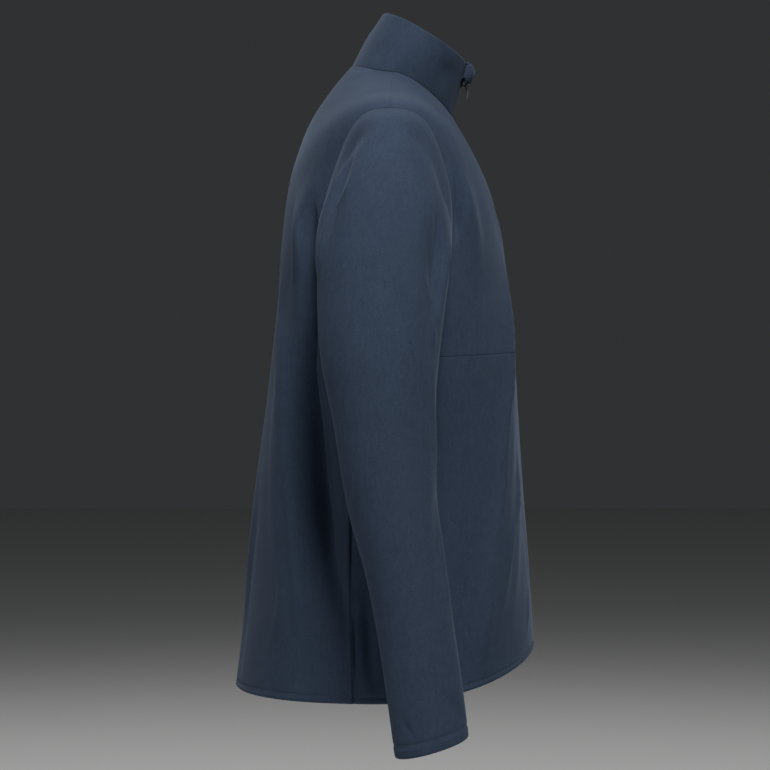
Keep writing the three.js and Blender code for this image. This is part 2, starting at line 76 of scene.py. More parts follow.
# Rings round the body from the hem to the neck, each with its half width, side, front and back points
ringColumns = "up width sideY sideZ frontY frontZ backY backZ full sweep"
bodyRings = table(
    ringColumns,
    (0, 203, 18, -686, -153, -640, 190, -685, 0.05, 2),
    (101, 204, 16, -585, -148, -560, 178.5, -585, 0.05, 2),
    (216, 207, 13, -470, -140, -455, 167, -470, 0.05, 2),
    (301, 211, 12, -385, -135, -378, 158, -385, 0.05, 2),
    (374, 215, 11, -312, -130.5, -303, 149, -312, 0.06, 2),
    (446, 216, 12, -240, -125, -240, 142.7, -250, 0.06, 2),
    (516, 216, 12, -170, -118, -190, 139, -190, 0.055, 2.1),
    (581, 215, 12, -105, -110.5, -150, 133, -135, 0.035, 2.3),
    (643, 211, 13, -43, -101.5, -117, 124.5, -92, -0.02, 2.4),
    (712, 150, 12, -17, -84.5, -78, 105, -39, -0.02, 2.1),
    (761, 105, 10, 2, -69, -50, 80, -1, 0, 1.8),
    (787, 81, 8, 11.5, -59, -32, 57.9, 25.5, 0, 1.5),
)
collarRings = table(
    ringColumns,
    (0, 81, 8, 11.5, -59, -32, 57.9, 25.5, 0, 1.5),
    (34, 79.5, -9, 35, -67, -1, 40.5, 56, 0, 1.25),
    (68, 76, -27.6, 59, -76, 30, 20.8, 87.9, 0, 1),
)
# Sections of the right sleeve, by the distance down its outer line
sleeveSections = table(
    "down outX outZ inX inZ frontY backY rise",
    (0, 211, -43, 216, -300, -57, 91, 0),
    (30, 235, -57, 219, -304, -56, 92, 0),
    (65, 256, -83, 221, -308, -53, 92, 0),
    (110, 277, -119, 222, -312, -50, 92, 0),
    (165, 296, -168, 222, -317, -46.5, 91, 0),
    (232, 311, -232, 222, -324, -42.5, 89, 0),
    (300, 321, -300, 222, -336, -38.5, 85, 2),
    (362, 324, -362, 224, -372, -35, 75, 5),
    (462, 326, -462, 234, -458, -36.5, 56.5, 7),
    (567, 328, -567, 249, -562, -48.5, 31.5, 9),
    (667, 330, -667, 264, -662, -62.5, 16, 10),
    (721, 331, -721, 271, -715, -69.5, 8, 11),
)
cut = {
    "chestSeamUp": 374,  # heights up the body, from the hem
    "underarmUp": 386,
    "shoulderTipUp": 643,
    "neckUp": 787,
    "hemSideSeam": 101.5,  # degrees round from the zip
    "underarmSideSeam": 101,
    "sideSeamLean": 4,
    "armholeFront": 35,  # the armhole's spread to the front and back, in degrees
    "armholeBack": 31,
    "topSquareness": 0.6,
    "lowSquareness": 0.9,
    "bodyArc": 190,  # millimetres for each radian round the body
    "sleeveArc": 62,
    "collarArc": 70,
    "sleeveLift": 0.5,
    "sleeveFade": 130,
    "sleeveLength": 721,
    "collarHeight": 68,
    "zipOpening": 6.5,  # from the zip's middle to each front edge
    "seamGap": 0.1,
}

# Folds: points are (degrees round, millimetres along), depth is outward, width is to each side,
# sharp is 2 for a round crest and less for a pinched one, left and right are the strength on that side
bodyFolds = [
    {"points": [(121, -40), (137, 230), (153, 500)], "depth": 10, "width": (26, 26), "left": 0.8},
    {"points": [(110, 60), (120, 240), (130, 420)], "depth": -18, "width": (23, 23), "left": 0.9},
    {"points": [(136, 400), (137, 610)], "depth": 6, "width": (20, 20), "left": 0.9},
    {"points": [(56, -40), (38, 220), (21, 480)], "depth": 9, "width": (22, 22), "left": 0.9},
    {"points": [(42, 20), (18, 320)], "depth": 4, "width": (16, 16), "left": 0.7},
    {"points": [(48, 440), (53, 650)], "depth": 6, "width": (18, 18), "left": 0.8},
    {"points": [(86, -60), (70, 350)], "depth": -11, "width": (25, 25), "left": 0.9},
    # the long crest down the back and the deep trough in front of it
    {"points": [(160, 545), (156, 490), (147, 408), (141, 361), (136, 306), (132, 252), (128, 190), (126, 150),
                (124, 100), (123, 50)],
     "depth": 6, "width": (12, 7), "sharp": 1.5, "left": 0.7, "fade": (0.3, 0.12)},
    {"points": [(157, 490), (148, 408), (142, 361), (137, 306), (133, 252), (129, 190), (127, 150), (125, 100)],
     "depth": 1.6, "width": (3.4, 3.4), "sharp": 1.7, "left": 0.7, "fade": (0.2, 0.2)},
    {"points": [(132, 575), (130, 511), (130, 458), (129, 400), (130, 361), (128, 307), (125, 253), (119, 198),
                (108, 113), (102, 50)],
     "depth": -23, "width": (8, 15), "left": 0.7, "fade": (0.2, 0.5)},
    {"points": [(150, 600), (138, 531), (134, 477), (129, 433), (122, 385)],
     "depth": 4.5, "width": (7, 13), "sharp": 1.5, "left": 0.8},
    {"points": [(129, 175), (131, 110), (134, 76), (140, 40)], "depth": 2.6, "width": (7, 9), "left": 0.4},
    # the crests down the front, which start on the chest
    {"points": [(20, 545), (24, 470), (33, 344), (36, 318), (40, 268), (43, 211), (48, 156), (51, 101), (53, 43),
                (54, 5)],
     "depth": 7, "width": (8, 15), "sharp": 1.1, "left": 0.8, "fade": (0.3, 0.15)},
    {"points": [(23, 290), (29, 205), (38, 162), (43, 107), (45, 55)],
     "depth": 5, "width": (6, 11), "sharp": 1.1, "left": 0.5},
    {"points": [(14, 100), (24, 30)], "depth": 1.8, "width": (6, 7), "left": 0.3},
    {"points": [(56, 615), (53, 574), (53, 546), (56, 500)], "depth": 3, "width": (7, 4), "left": 0.9},
    {"points": [(57, 600), (56, 572), (57, 545), (58, 520), (61, 485)], "depth": -6, "width": (4, 6), "left": 0.9},
    # beside the side seam, near the hem
    {"points": [(99, 95), (98, 40), (96, -10)], "depth": 2.4, "width": (6, 6), "left": 0.6},
    {"points": [(98, 150), (97, 59), (95, 5)], "depth": -6.5, "width": (9, 7), "left": 0.8},
    # the side seam pulls the cloth in, with a low welt behind it
    {"points": [(101, -20), (102, 48), (103.5, 102), (104.8, 156), (105.4, 205), (104.5, 290), (101.5, 375)],
     "depth": -2.6, "width": (1.3, 1.3), "left": 1, "fade": (0.05, 0.1)},
    {"points": [(102.2, -20), (103.2, 48), (104.7, 102), (106, 156), (106.6, 205), (105.7, 290), (102.7, 375)],
     "depth": 1.2, "width": (2, 3.2), "left": 1, "fade": (0.05, 0.1)},
    # the middle of the back and the sides of the zip
    {"points": [(171, 30), (168, 190), (172, 330)], "depth": 3.4, "width": (13, 15), "left": 0.3},
    {"points": [(161, -20), (164, 120), (159, 240)], "depth": -3, "width": (11, 13), "left": 0.9},
    {"points": [(176, 60), (166, 260)], "depth": 3, "width": (12, 14), "right": 0},
    {"points": [(165, 700), (173, 640), (178, 560)], "depth": -2, "width": (11, 12), "left": 0.8},
    {"points": [(30, 640), (18, 560), (9, 470)], "depth": 1.8, "width": (9, 11), "left": 0.9},
    {"points": [(22, 190), (11, 120), (5, 60)], "depth": -1.8, "width": (9, 11), "left": 0.7},
    # a small tuck below the collar
    {"points": [(158, 781), (146, 776), (132, 774), (118, 777)], "depth": 1.5, "width": (3.5, 3.5), "left": 0.6},
]
sleeveFolds = [
    {"points": [(276, 160), (318, 5)], "depth": 4, "width": (17, 17), "left": 0.9},
    {"points": [(300, 190), (330, 15)], "depth": -6, "width": (13, 13), "left": 1},
    {"points": [(62, 320), (56, 80)], "depth": -8, "width": (15, 15), "left": 0.8},
    {"points": [(252, 560), (300, 330)], "depth": 2, "width": (16, 16), "left": 1},
    {"points": [(40, 590), (88, 430)], "depth": -3, "width": (16, 16), "left": 1},
    # the cap falls away from the armhole at the back and front
    {"points": [(352, 60), (330, 44), (305, 42), (282, 55), (272, 85)], "depth": -8, "width": (22, 22), "left": 1,
     "fade": (0.3, 0.3)},
    {"points": [(12, 60), (32, 44), (55, 42), (76, 60)], "depth": -5, "width": (20, 20), "left": 1,
     "fade": (0.3, 0.3)},
    # drag lines behind the shoulder
    {"points": [(340, 28), (325, 55), (312, 74), (300, 104)], "depth": 4, "width": (5, 5), "sharp": 1.5, "left": 0.8},
    {"points": [(334, 62), (318, 82), (304, 104)], "depth": -5, "width": (6, 6), "left": 0.8},
    {"points": [(350, 72), (341, 86), (328, 105), (308, 118), (292, 145), (284, 190)],
     "depth": 4.2, "width": (6, 8), "sharp": 1.5, "left": 0.7},
    {"points": [(262, 40), (266, 110), (270, 180)], "depth": -3, "width": (8, 8), "left": 0.8},
    # the front of the upper arm, down to a fold that runs in from the elbow
    {"points": [(52, 80), (61, 119), (66, 145), (68, 165), (68, 195), (67, 240)],
     "depth": -7, "width": (7, 8), "left": 0.8, "fade": (0.35, 0.3)},
    {"points": [(78, 25), (81, 64), (80, 100), (79, 137), (78, 190), (73, 245), (68, 290)],
     "depth": 3.5, "width": (5, 6), "sharp": 1.6, "left": 0.9},
    {"points": [(40, 196), (47, 206), (57, 220), (63, 240), (65, 275), (67, 300)],
     "depth": 3.6, "width": (8, 4), "sharp": 1.4, "left": 0.6, "fade": (0.4, 0.3)},
    {"points": [(69, 300), (72, 363), (79, 420), (88, 470)], "depth": 2, "width": (6, 8), "sharp": 1.6, "left": 0.9},
    {"points": [(90, 470), (78, 541), (76, 620)], "depth": 1.8, "width": (8, 9), "left": 0.8},
    # the bend of the elbow and the underarm, on the hidden side
    {"points": [(118, 345), (150, 322), (190, 318)], "depth": 3, "width": (9, 10), "left": 0.9},
    {"points": [(112, 372), (150, 352), (200, 350)], "depth": -3.2, "width": (9, 9), "left": 0.8},
    {"points": [(120, 412), (155, 386), (196, 380)], "depth": 2.4, "width": (9, 11), "left": 0.9},
    {"points": [(232, 60), (214, 130), (196, 190)], "depth": -3, "width": (9, 10), "left": 0.9},
    {"points": [(128, 50), (146, 120), (160, 170)], "depth": -3, "width": (9, 10), "left": 0.9},
    # above the cuff
    {"points": [(312, 676), (326, 691), (338, 704)], "depth": -1.7, "width": (3.2, 3.6), "sharp": 1.5, "left": 0.5},
    {"points": [(20, 655), (52, 690), (80, 706)], "depth": -1.5, "width": (8, 9), "left": 0.9},
    {"points": [(200, 640), (215, 690), (222, 712)], "depth": 1.6, "width": (8, 9), "left": 0.9},
]
collarFolds = [
    {"points": [(40, 10), (44, 36), (40, 58)], "depth": -1.6, "width": (9, 11), "left": 0.8},
    {"points": [(118, 4), (124, 26), (120, 44)], "depth": -1.3, "width": (9, 10), "left": 0.7},
    {"points": [(165, 10), (176, 40), (172, 62)], "depth": 1.2, "width": (12, 13), "left": 0.6},
]


fleece = {"thickness": 2.2, "collarThickness": 1.4}
hem = {"radius": 2.3, "turnUp": 12, "stitchUp": 7.5, "stitchWidth": 1.7, "sink": 0.5, "swell": 0.4}
cuff = {"radius": 2.2, "turnUp": 15, "stitchUp": 13, "sink": 0.7, "swell": 0.3}
frontStitch = {"fromZip": 13, "sink": 0.6, "swell": 0.3}
collarTop = {"radius": 1.6, "turnDown": 58}
slack = {"body": 0.6, "collar": 0.4, "sleeve": 0.7}  # height of the cloth's soft unevenness


def mix(a, b, t):
    return a + (b - a) * t


def smooth(t):
    t = np.clip(t, 0, 1)
    return t * t * (3 - 2 * t)


# Every column of a table at the given values of its key, on a smooth curve through the rows
def rowAt(rows, key, value):
    keys = rows[key]
    k = np.clip(np.searchsorted(keys, value, side="left") - 1, 0, len(keys) - 2)
    before = np.maximum(k - 1, 0)
    after = np.minimum(k + 2, len(keys) - 1)
    span = keys[k + 1] - keys[k]
    t = (value - keys[k]) / span
    row = {}
    for name, column in rows.items():
        start, end = column[k], column[k + 1]
        slopeIn = (end - column[before]) / (keys[k + 1] - keys[before]) * span
        slopeOut = (column[after] - start) / (keys[after] - keys[k]) * span
        square = 3 * (end - start) - 2 * slopeIn - slopeOut
        cube = 2 * (start - end) + slopeIn + slopeOut
        row[name] = start + t * (slopeIn + t * (square + t * cube))
    return row


# A point of a ring: angle 0 is the zip, a quarter turn the right side, half a turn the middle back
def ringPoint(ring, angle):
    forward = np.cos(angle)
    reach = np.abs(forward)
    swell = 1 + ring["full"] * np.sin(2 * angle) ** 2
    endY = np.where(forward > 0, ring["frontY"], ring["backY"])
    endZ = np.where(forward > 0, ring["frontZ"], ring["backZ"])
    x = -ring["width"] * np.sin(angle) * swell
    y = ring["sideY"] + (endY - ring["sideY"]) * reach * swell
    z = ring["sideZ"] + (endZ - ring["sideZ"]) * reach ** ring["sweep"]
    return np.stack([x, y, z], -1)


def plainBody(angle, up):
    return ringPoint(rowAt(bodyRings, "up", up), angle)


def plainCollar(angle, up):
    return ringPoint(rowAt(collarRings, "up", up), angle)


def outwardOf(surface, around, along):
    across = surface(around + 0.004, along) - surface(around - 0.004, along)
    lengthwise = surface(around, along + 1) - surface(around, along - 1)
    normal = np.cross(lengthwise, across)
    return normal / np.linalg.norm(normal, axis=-1, keepdims=True)


# Points along a fold's middle line, on a smooth curve through the ones it is given
def foldLine(points, steps=6):
    given = np.array([points[0], *points, points[-1]], float)
    t = np.linspace(0, 1, steps, endpoint=False)[:, None]
    line = []
    for k in range(1, len(given) - 2):
        a, b, c, d = given[k - 1:k + 3]
        line.append(0.5 * (2 * b + (c - a) * t + (2 * a - 5 * b + 4 * c - d) * t ** 2
                           + (3 * b - a - 3 * c + d) * t ** 3))
    return np.vstack([*line, given[-1:]])


# Height of all folds at the given places, in degrees round and millimetres along
def foldHeight(folds, degrees, along, arc, leftSide):
    height = np.zeros(np.broadcast(degrees, along).shape)
    perDegree = arc * degree
    here = np.stack(np.broadcast_arrays(degrees * perDegree, along), -1)
    for fold in folds:
        line = foldLine(fold["points"]) * (perDegree, 1)
        reach = 2.6 * max(fold["width"])
        near = np.all((here > line.min(0) - reach) & (here < line.max(0) + reach), -1)
        if not near.any():
            continue
        points = here[near]
        nearest = np.full(len(points), 1e9)
        side = np.zeros(len(points))
        share = np.zeros(len(points))
        lengths = np.linalg.norm(np.diff(line, axis=0), axis=1)
        total = lengths.sum()
        gone = 0
        for start, end, length in zip(line[:-1], line[1:], lengths):
            run = (end - start) / length
            offset = points - start
            t = np.clip(offset @ run, 0, length)
            away = offset - t[:, None] * run
            distance = np.linalg.norm(away, axis=1)
            closer = distance < nearest
            nearest = np.where(closer, distance, nearest)
            side = np.where(closer, away[:, 0], side)
            share = np.where(closer, (gone + t) / total, share)
            gone += length
        frontWidth, backWidth = fold["width"]
        width = np.where(side < 0, frontWidth, backWidth)
        fadeIn, fadeOut = fold.get("fade", (0.45, 0.45))
        ends = smooth(share / fadeIn) * smooth((1 - share) / fadeOut)
        wave = 1 + fold.get("uneven", 0.15) * np.sin(9 * share + 40 * frontWidth)
        strength = fold["depth"] * fold.get("left" if leftSide else "right", 1)
        height[near] += strength * ends * wave * np.exp(-(nearest / width) ** fold.get("sharp", 2))
    return height


# Soft unevenness of cloth that hangs free, by place, and calm beside the zip
def slackness(points, seed):
    x, y, z = points[..., 0], points[..., 1], points[..., 2]
    broad = np.sin(x / 38 + z / 87 + seed) * np.sin(z / 53 - y / 41 + 2 * seed)
    small = np.sin(y / 17 - z / 61 + 3 * seed) * np.sin(z / 29 + x / 33 + y / 45 + seed)
    calm = np.where(y < -20, smooth((np.abs(x) - 8) / 40), 1)
    return (0.7 * broad + 0.3 * small) * calm


# A row of stitches pulls the cloth in, and the cloth swells a little beside it
def stitchedChannel(away, width, sink, swell):
    return swell * np.exp(-((away + 2.6 * width) / (1.6 * width)) ** 2) - sink * np.exp(-(away / width) ** 2)


# Angles from the zip on either side, and the height of that side's folds
def bothSides(folds, angle, up, arc):
    angle, up = np.broadcast_arrays(angle, up)
    onLeft = angle > math.pi
    fromZip = np.where(onLeft, 2 * math.pi - angle, angle)
    height = np.zeros(angle.shape)
    for leftSide in (False, True):
        here = onLeft == leftSide
        if here.any():
            height[here] = foldHeight(folds, fromZip[here] / degree, up[here], arc, leftSide)
    return fromZip, height


def bodyPlace(angle, up):
    fromZip, height = bothSides(bodyFolds, angle, up, cut["bodyArc"])
    outward = outwardOf(plainBody, angle, up)
    points = plainBody(angle, up)
    height = height + slack["body"] * slackness(points, 1.3)
    height = height + stitchedChannel(up - hem["stitchUp"], hem["stitchWidth"], hem["sink"], hem["swell"])
    height = height + frontChannel(points[..., 0], fromZip)
    return points + outward * height[..., None], outward


# The row of stitches beside the zip, on the body and on the collar
def frontChannel(x, fromZip):
    beside = stitchedChannel(frontStitch["fromZip"] - np.abs(x), 1.5, frontStitch["sink"], frontStitch["swell"])
    return np.where(fromZip < 0.6, beside, 0)


def collarPlace(angle, up):
    outward = outwardOf(plainCollar, angle, up)
    points = plainCollar(angle, up)
    fromZip, height = bothSides(collarFolds, angle, up, cut["collarArc"])
    height = height + slack["collar"] * slackness(points, 4.1)
    height = height + frontChannel(points[..., 0], fromZip)
    return points + outward * height[..., None], outward


# The side seam leans to the back between the hem and the underarm
def sideSeamAt(up):
    share = up / cut["underarmUp"]
    lean = cut["sideSeamLean"] * np.sin(math.pi * np.clip(share, 0, 1))
    return (mix(cut["hemSideSeam"], cut["underarmSideSeam"], share) + lean) * degree


# The armhole's line at a turn from the shoulder point over the front edge; inset makes it smaller
def armholeAt(turn, inset):
    low, high = cut["underarmUp"], cut["shoulderTipUp"]
    up = (high + low) / 2 + ((high - low) / 2 - inset) * np.cos(turn)
    line = mix(cut["underarmSideSeam"], 90, np.clip((up - low) / (high - low), 0, 1))
    squareness = mix(cut["lowSquareness"], cut["topSquareness"], (1 + np.cos(turn)) / 2)
    spread = np.abs(np.sin(turn)) ** squareness
    side = np.where(np.sin(turn) > 0, -cut["armholeFront"], cut["armholeBack"])
    shrink = np.sign(side) * inset / cut["bodyArc"]
    return (line + side * spread) * degree - shrink * spread, up


def sleevePlain(turn, down, leftSide):
    turn, down = np.broadcast_arrays(turn, down)

    def sectionPoint(turn, down):
        row = rowAt(sleeveSections, "down", down)
        outward, forward = (1 + np.cos(turn)) / 2, (1 + np.sin(turn)) / 2
        return np.stack([
            -mix(row["inX"], row["outX"], outward),
            mix(row["backY"], row["frontY"], forward),
            mix(row["inZ"], row["outZ"], outward) + row["rise"] * (2 * forward - 1),
        ], -1)

    points = sectionPoint(turn, down)
    near = down < cut["sleeveFade"]
    if near.any():
        turn, down = turn[near], down[near]
        angle, up = armholeAt(turn, cut["seamGap"] / 2)
        start, _ = bodyPlace(2 * math.pi - angle if leftSide else angle, up)
        if leftSide:
            start = start * (-1, 1, 1)
        lift = plainBody(angle, up) * (1, 1, 0)
        lift = lift / np.linalg.norm(lift, axis=-1, keepdims=True) * cut["sleeveLift"]
        hold = 1 - smooth(down / cut["sleeveFade"])
        points[near] += (start + lift - sectionPoint(turn, np.zeros_like(down))) * hold[..., None]
    return points


def sleevePlace(turn, down, leftSide):
    def surface(around, along):
        return sleevePlain(around, along, leftSide)

    outward = outwardOf(surface, turn, down)
    degrees = turn / degree
    points = surface(turn, down)
    height = foldHeight(sleeveFolds, np.mod(degrees, 360), down, cut["sleeveArc"], leftSide)
    height = height + slack["sleeve"] * slackness(points, 7.7 if leftSide else 5.2) * smooth(down / 60)
    fromEdge = cut["sleeveLength"] - down
    height = height + stitchedChannel(fromEdge - cuff["stitchUp"], 1.7, cuff["sink"], cuff["swell"])
    return points + outward * height[..., None], outward


# Edges of a panel: each gives, from the flat cloth to its cut end, how far its lines lie inside
# the finished edge and how far behind the face
def seamEdge(radius=0.22, turnIn=4.5):
    bends = [math.pi / 2 * k / 4 for k in range(5)]
    stops = [(radius * (1 - math.sin(b)), radius * (1 - math.cos(b))) for b in bends]
    return [*stops, (-0.12, radius + turnIn * 0.4), (-0.12, radius + turnIn)]


def foldEdge(radius, turnUp, steps=4):
    bends = [math.pi * k / 8 for k in range(9)]
    stops = [(radius * (1 - math.sin(b)), radius * (1 - math.cos(b))) for b in bends]
    return stops + [(radius + turnUp * k / steps, 2 * radius) for k in range(1, steps + 1)]


# Shares of the way across, with finer steps in a stretch at either end
def spread(count, fineFirst=0, fineLast=0, steps=14):
    first = np.linspace(0, fineFirst, steps, endpoint=False) if fineFirst else []
    last = np.linspace(1, 1 - fineLast, steps, endpoint=False)[::-1] if fineLast else []
    return [*first, *np.linspace(fineFirst, 1 - fineLast, count + 1), *last]


# Lines of a grid in one direction: share of the way across, offsets from both edges, and depth
def gridLines(main, firstEdge, lastEdge):
    before, after, flat = len(firstEdge) - 1, len(lastEdge) - 1, len(main)
    shares = [0] * before + [*main] + [1] * after
    fromFirst = [stop[0] for stop in firstEdge[:0:-1]] + [firstEdge[0][0]] * flat + [0] * after
    fromLast = [0] * before + [lastEdge[0][0]] * flat + [stop[0] for stop in lastEdge[1:]]
    depth = [stop[1] for stop in firstEdge[:0:-1]] + [0] * flat + [stop[1] for stop in lastEdge[1:]]
    return [np.array(values, float) for values in (shares, fromFirst, fromLast, depth)]


def finishedPiece(name, bm):
    for face in bm.faces:
        face.smooth = True
    mesh = bpy.data.meshes.new(name)
    bm.to_mesh(mesh)
    bm.free()
    piece = bpy.data.objects.new(name, mesh)
    bpy.context.scene.collection.objects.link(piece)
    return piece


# A sheet of cloth: place(s, t) gives its points and outward directions for shares from 0 to 1
def clothSheet(name, place, columns, rows, left, right, bottom, top, thickness, layered=0):
    s, sFirst, sLast, sDepth = gridLines(columns, left, right)
    t, tFirst, tLast, tDepth = gridLines(rows, bottom, top)
    step = 0.004

    def stretch(a, b, axisStep):
        return np.linalg.norm(place(a + axisStep[0], b + axisStep[1])[0] - place(a, b)[0], axis=-1) / step

    firstS = stretch(np.zeros_like(t), t, (step, 0))[:, None]
    lastS = stretch(np.ones_like(t), t, (-step, 0))[:, None]
    firstT = stretch(s, np.zeros_like(s), (0, step))
    lastT = stretch(s, np.ones_like(s), (0, -step))
    across = s + sFirst * (1 - s) / firstS - sLast * s / lastS
    along = t[:, None] + tFirst[:, None] * (1 - t[:, None]) / firstT - tLast[:, None] * t[:, None] / lastT
    points, outward = place(across, along)
    depth = tDepth[:, None] + sDepth * (1 - tDepth[:, None] / layered if layered else 1)
    points = (points - outward * depth[..., None]) * mm

    bm = bmesh.new()
    bmesh.ops.create_grid(bm, x_segments=len(s) - 1, y_segments=len(t) - 1, size=1)
    for vert, point in zip(bm.verts, points.reshape(-1, 3)):
        vert.co = point
    bm.normal_update()
    bm.faces.ensure_lookup_table()
    row, column = len(t) // 2, len(s) // 2
    if bm.faces[row * (len(s) - 1) + column].normal.dot(Vector(outward[row, column])) < 0:
        bmesh.ops.reverse_faces(bm, faces=bm.faces[:])
    piece = finishedPiece(name, bm)
    wall = piece.modifiers.new("wall", "SOLIDIFY")
    wall.thickness = thickness * mm
    wall.offset = -1
    return piece


fine = {"frontColumns": 80, "lowerRows": 100, "upperRows": 126, "backColumns": 150, "backRows": 196,
        "sleeveColumns": 112, "sleeveRows": 190, "collarColumns": 120, "collarRows": 20}


def zipEdgeAngle(rings, up):
    return np.arcsin(cut["zipOpening"] / rowAt(rings, "up", up)["width"])


# A panel's side edge at a share of its height: side seam, then the armhole, then the shoulder seam
def sideEdge(t, firstUp, onFront):
    half = cut["seamGap"] / 2
    row = t * 14
    seamUp = mix(firstUp, cut["underarmUp"] + half, np.clip(row, 0, 1))
    turn = math.pi * (1 - np.clip((row - 1) / 10, 0, 1))
    holeAngle, holeUp = armholeAt(turn if onFront else 2 * math.pi - turn, -half)
    shoulderUp = mix(cut["shoulderTipUp"] + half, cut["neckUp"] - half, (row - 11) / 3)
    angle = np.where(row < 1, sideSeamAt(seamUp), np.where(row < 11, holeAngle, math.pi / 2))
    return angle, np.where(row < 1, seamUp, np.where(row < 11, holeUp, shoulderUp))


def frontPlace(s, t, lowUp, highUp, leftSide):
    seamAngle = cut["seamGap"] / 2 / 110
    if highUp > cut["underarmUp"]:
        edgeAngle, edgeUp = sideEdge(t, lowUp, True)
    else:
        edgeUp = mix(lowUp, highUp, t)
        edgeAngle = sideSeamAt(edgeUp)
    up = mix(mix(lowUp, highUp, t), edgeUp, s * s)
    angle = mix(zipEdgeAngle(bodyRings, up), edgeAngle - seamAngle, s)
    return bodyPlace(2 * math.pi - angle if leftSide else angle, up)


def backPlace(s, t):
    split = 11 / 25  # share of the height where the chest seams meet the side seams
    seamAngle = cut["seamGap"] / 2 / 110
    lowUp = cut["chestSeamUp"] * t / split
    edgeAngle, edgeUp = sideEdge((t - split) / (1 - split), cut["chestSeamUp"], False)
    lower = t < split
    edgeAngle = np.where(lower, sideSeamAt(lowUp), edgeAngle)
    edgeUp = np.where(lower, lowUp, edgeUp)
    half = cut["seamGap"] / 2
    middleUp = np.where(lower, lowUp, mix(cut["chestSeamUp"], cut["neckUp"] - half, (t - split) / (1 - split)))
    across = 2 * s - 1
    side = across * (1.25 - 0.25 * across * across)
    up = mix(middleUp, edgeUp, across * across)
    return bodyPlace(math.pi + side * (math.pi - edgeAngle - seamAngle), up)


def buildPanels():
    chest, half, neck = cut["chestSeamUp"], cut["seamGap"] / 2, cut["neckUp"] - cut["seamGap"] / 2
    seam, chestSeam, zipEdge = seamEdge(), seamEdge(0.6), seamEdge(1.2, 1.6)
    hemFold, cuffFold = foldEdge(hem["radius"], hem["turnUp"]), foldEdge(cuff["radius"], cuff["turnUp"])
    thickness = fleece["thickness"]
    made = {"back": clothSheet("back_panel", backPlace, spread(fine["backColumns"]),
                               spread(fine["backRows"], 0.022), seam, seam, hemFold, seam, thickness)}
    frontColumns = spread(fine["frontColumns"], 0.07)
    for side, leftSide in (("right", False), ("left", True)):
        def lower(s, t):
            return frontPlace(s, t, 0, chest - half, leftSide)

        def upper(s, t):
            return frontPlace(s, t, chest + half, neck, leftSide)

        def sleeve(s, t):
            points, outward = sleevePlace(math.pi * (2 * s - 1), cut["sleeveLength"] * t, leftSide)
            mirror = (-1 if leftSide else 1, 1, 1)
            return points * mirror, outward * mirror

        made[f"front_lower_{side}"] = clothSheet(
            f"front_lower_panel_{side}", lower, frontColumns, spread(fine["lowerRows"], 0.045),
            zipEdge, seam, hemFold, chestSeam, thickness)
        made[f"front_upper_{side}"] = clothSheet(
            f"front_upper_panel_{side}", upper, frontColumns, spread(fine["upperRows"]),
            zipEdge, seam, chestSeam, seam, thickness)
        made[f"sleeve_{side}"] = clothSheet(
            f"sleeve_cloth_{side}", sleeve, spread(fine["sleeveColumns"]),
            spread(fine["sleeveRows"], 0, 0.033), seam, seam, seam, cuffFold, thickness)

    def collar(s, t):
        up = mix(cut["seamGap"], cut["collarHeight"], t)
        start = zipEdgeAngle(collarRings, up)
        return collarPlace(mix(start, 2 * math.pi - start, s), up)

    radius = collarTop["radius"]
    side = foldEdge(radius, 1)[:5]
    made["collar"] = clothSheet(
        "collar_cloth", collar, spread(fine["collarColumns"], 0.05, 0.05), spread(fine["collarRows"]),
        side, side, seam, foldEdge(radius, collarTop["turnDown"], 12), fleece["collarThickness"], radius)
    return made


panels = buildPanels()
print("cloth panels made")

zipSizes = {
    "tapeHalf": 13,  # width of each half, from the middle line
    "tapeThickness": 0.9,
    "behind": 0.7,  # from the cloth's inner side to the tape
    "pitch": 1.9,  # from one turn of the coil to the next
    "coilMiddle": 1.45,  # from the middle line to the middle of each half of the coil
    "coilReach": 1.75,
    "coilHeight": 1.15,
    "wire": 0.42,
}


# A place beside the zip: x to the right of its middle line, along from the hem to the collar's top
def zipPlace(x, along, out):
    onBody = along < cut["neckUp"]
    up = np.where(onBody, along, 0)
    collarUp = np.where(onBody, 0, along - cut["neckUp"])
    bodyAngle = np.arcsin(x / rowAt(bodyRings, "up", up)["width"])
    collarAngle = np.arcsin(x / rowAt(collarRings, "up", collarUp)["width"])
    outward = np.where(onBody[..., None], outwardOf(plainBody, bodyAngle, up),
                       outwardOf(plainCollar, collarAngle, collarUp))
    points = np.where(onBody[..., None], plainBody(bodyAngle, up), plainCollar(collarAngle, collarUp))
    return points + outward * np.broadcast_to(out, onBody.shape)[..., None], outward


def tapeFace(along):
    cloth = mix(2.4, 3.0, smooth((along - cut["neckUp"] + 20) / 20))
    return -cloth - zipSizes["behind"]


# Frames for small things in a row: each has its middle, and directions along the row and out of the cloth
def framesFor(points, outward):
    along = np.gradient(points, axis=0)
    frames = []
    for place, direction, out in zip(points, along, outward):
        third = Vector(out).normalized()
        first = Vector(direction)
        first = (first - third * first.dot(third)).normalized()
        second = third.cross(first)
        frames.append(Matrix((first, second, third)).transposed().to_4x4())
        frames[-1].translation = Vector(place) * mm
    return frames


# One mesh with a copy of a small shape in each frame
def repeated(name, bm, frames):
    base = bm.verts[:] + bm.edges[:] + bm.faces[:]
    for frame in frames:
        copy = bmesh.ops.duplicate(bm, geom=base)["geom"]
        bmesh.ops.transform(bm, matrix=frame, verts=[part for part in copy if isinstance(part, bmesh.types.BMVert)])
    bmesh.ops.delete(bm, geom=[part for part in base if isinstance(part, bmesh.types.BMVert)], context="VERTS")
    return finishedPiece(name, bm)


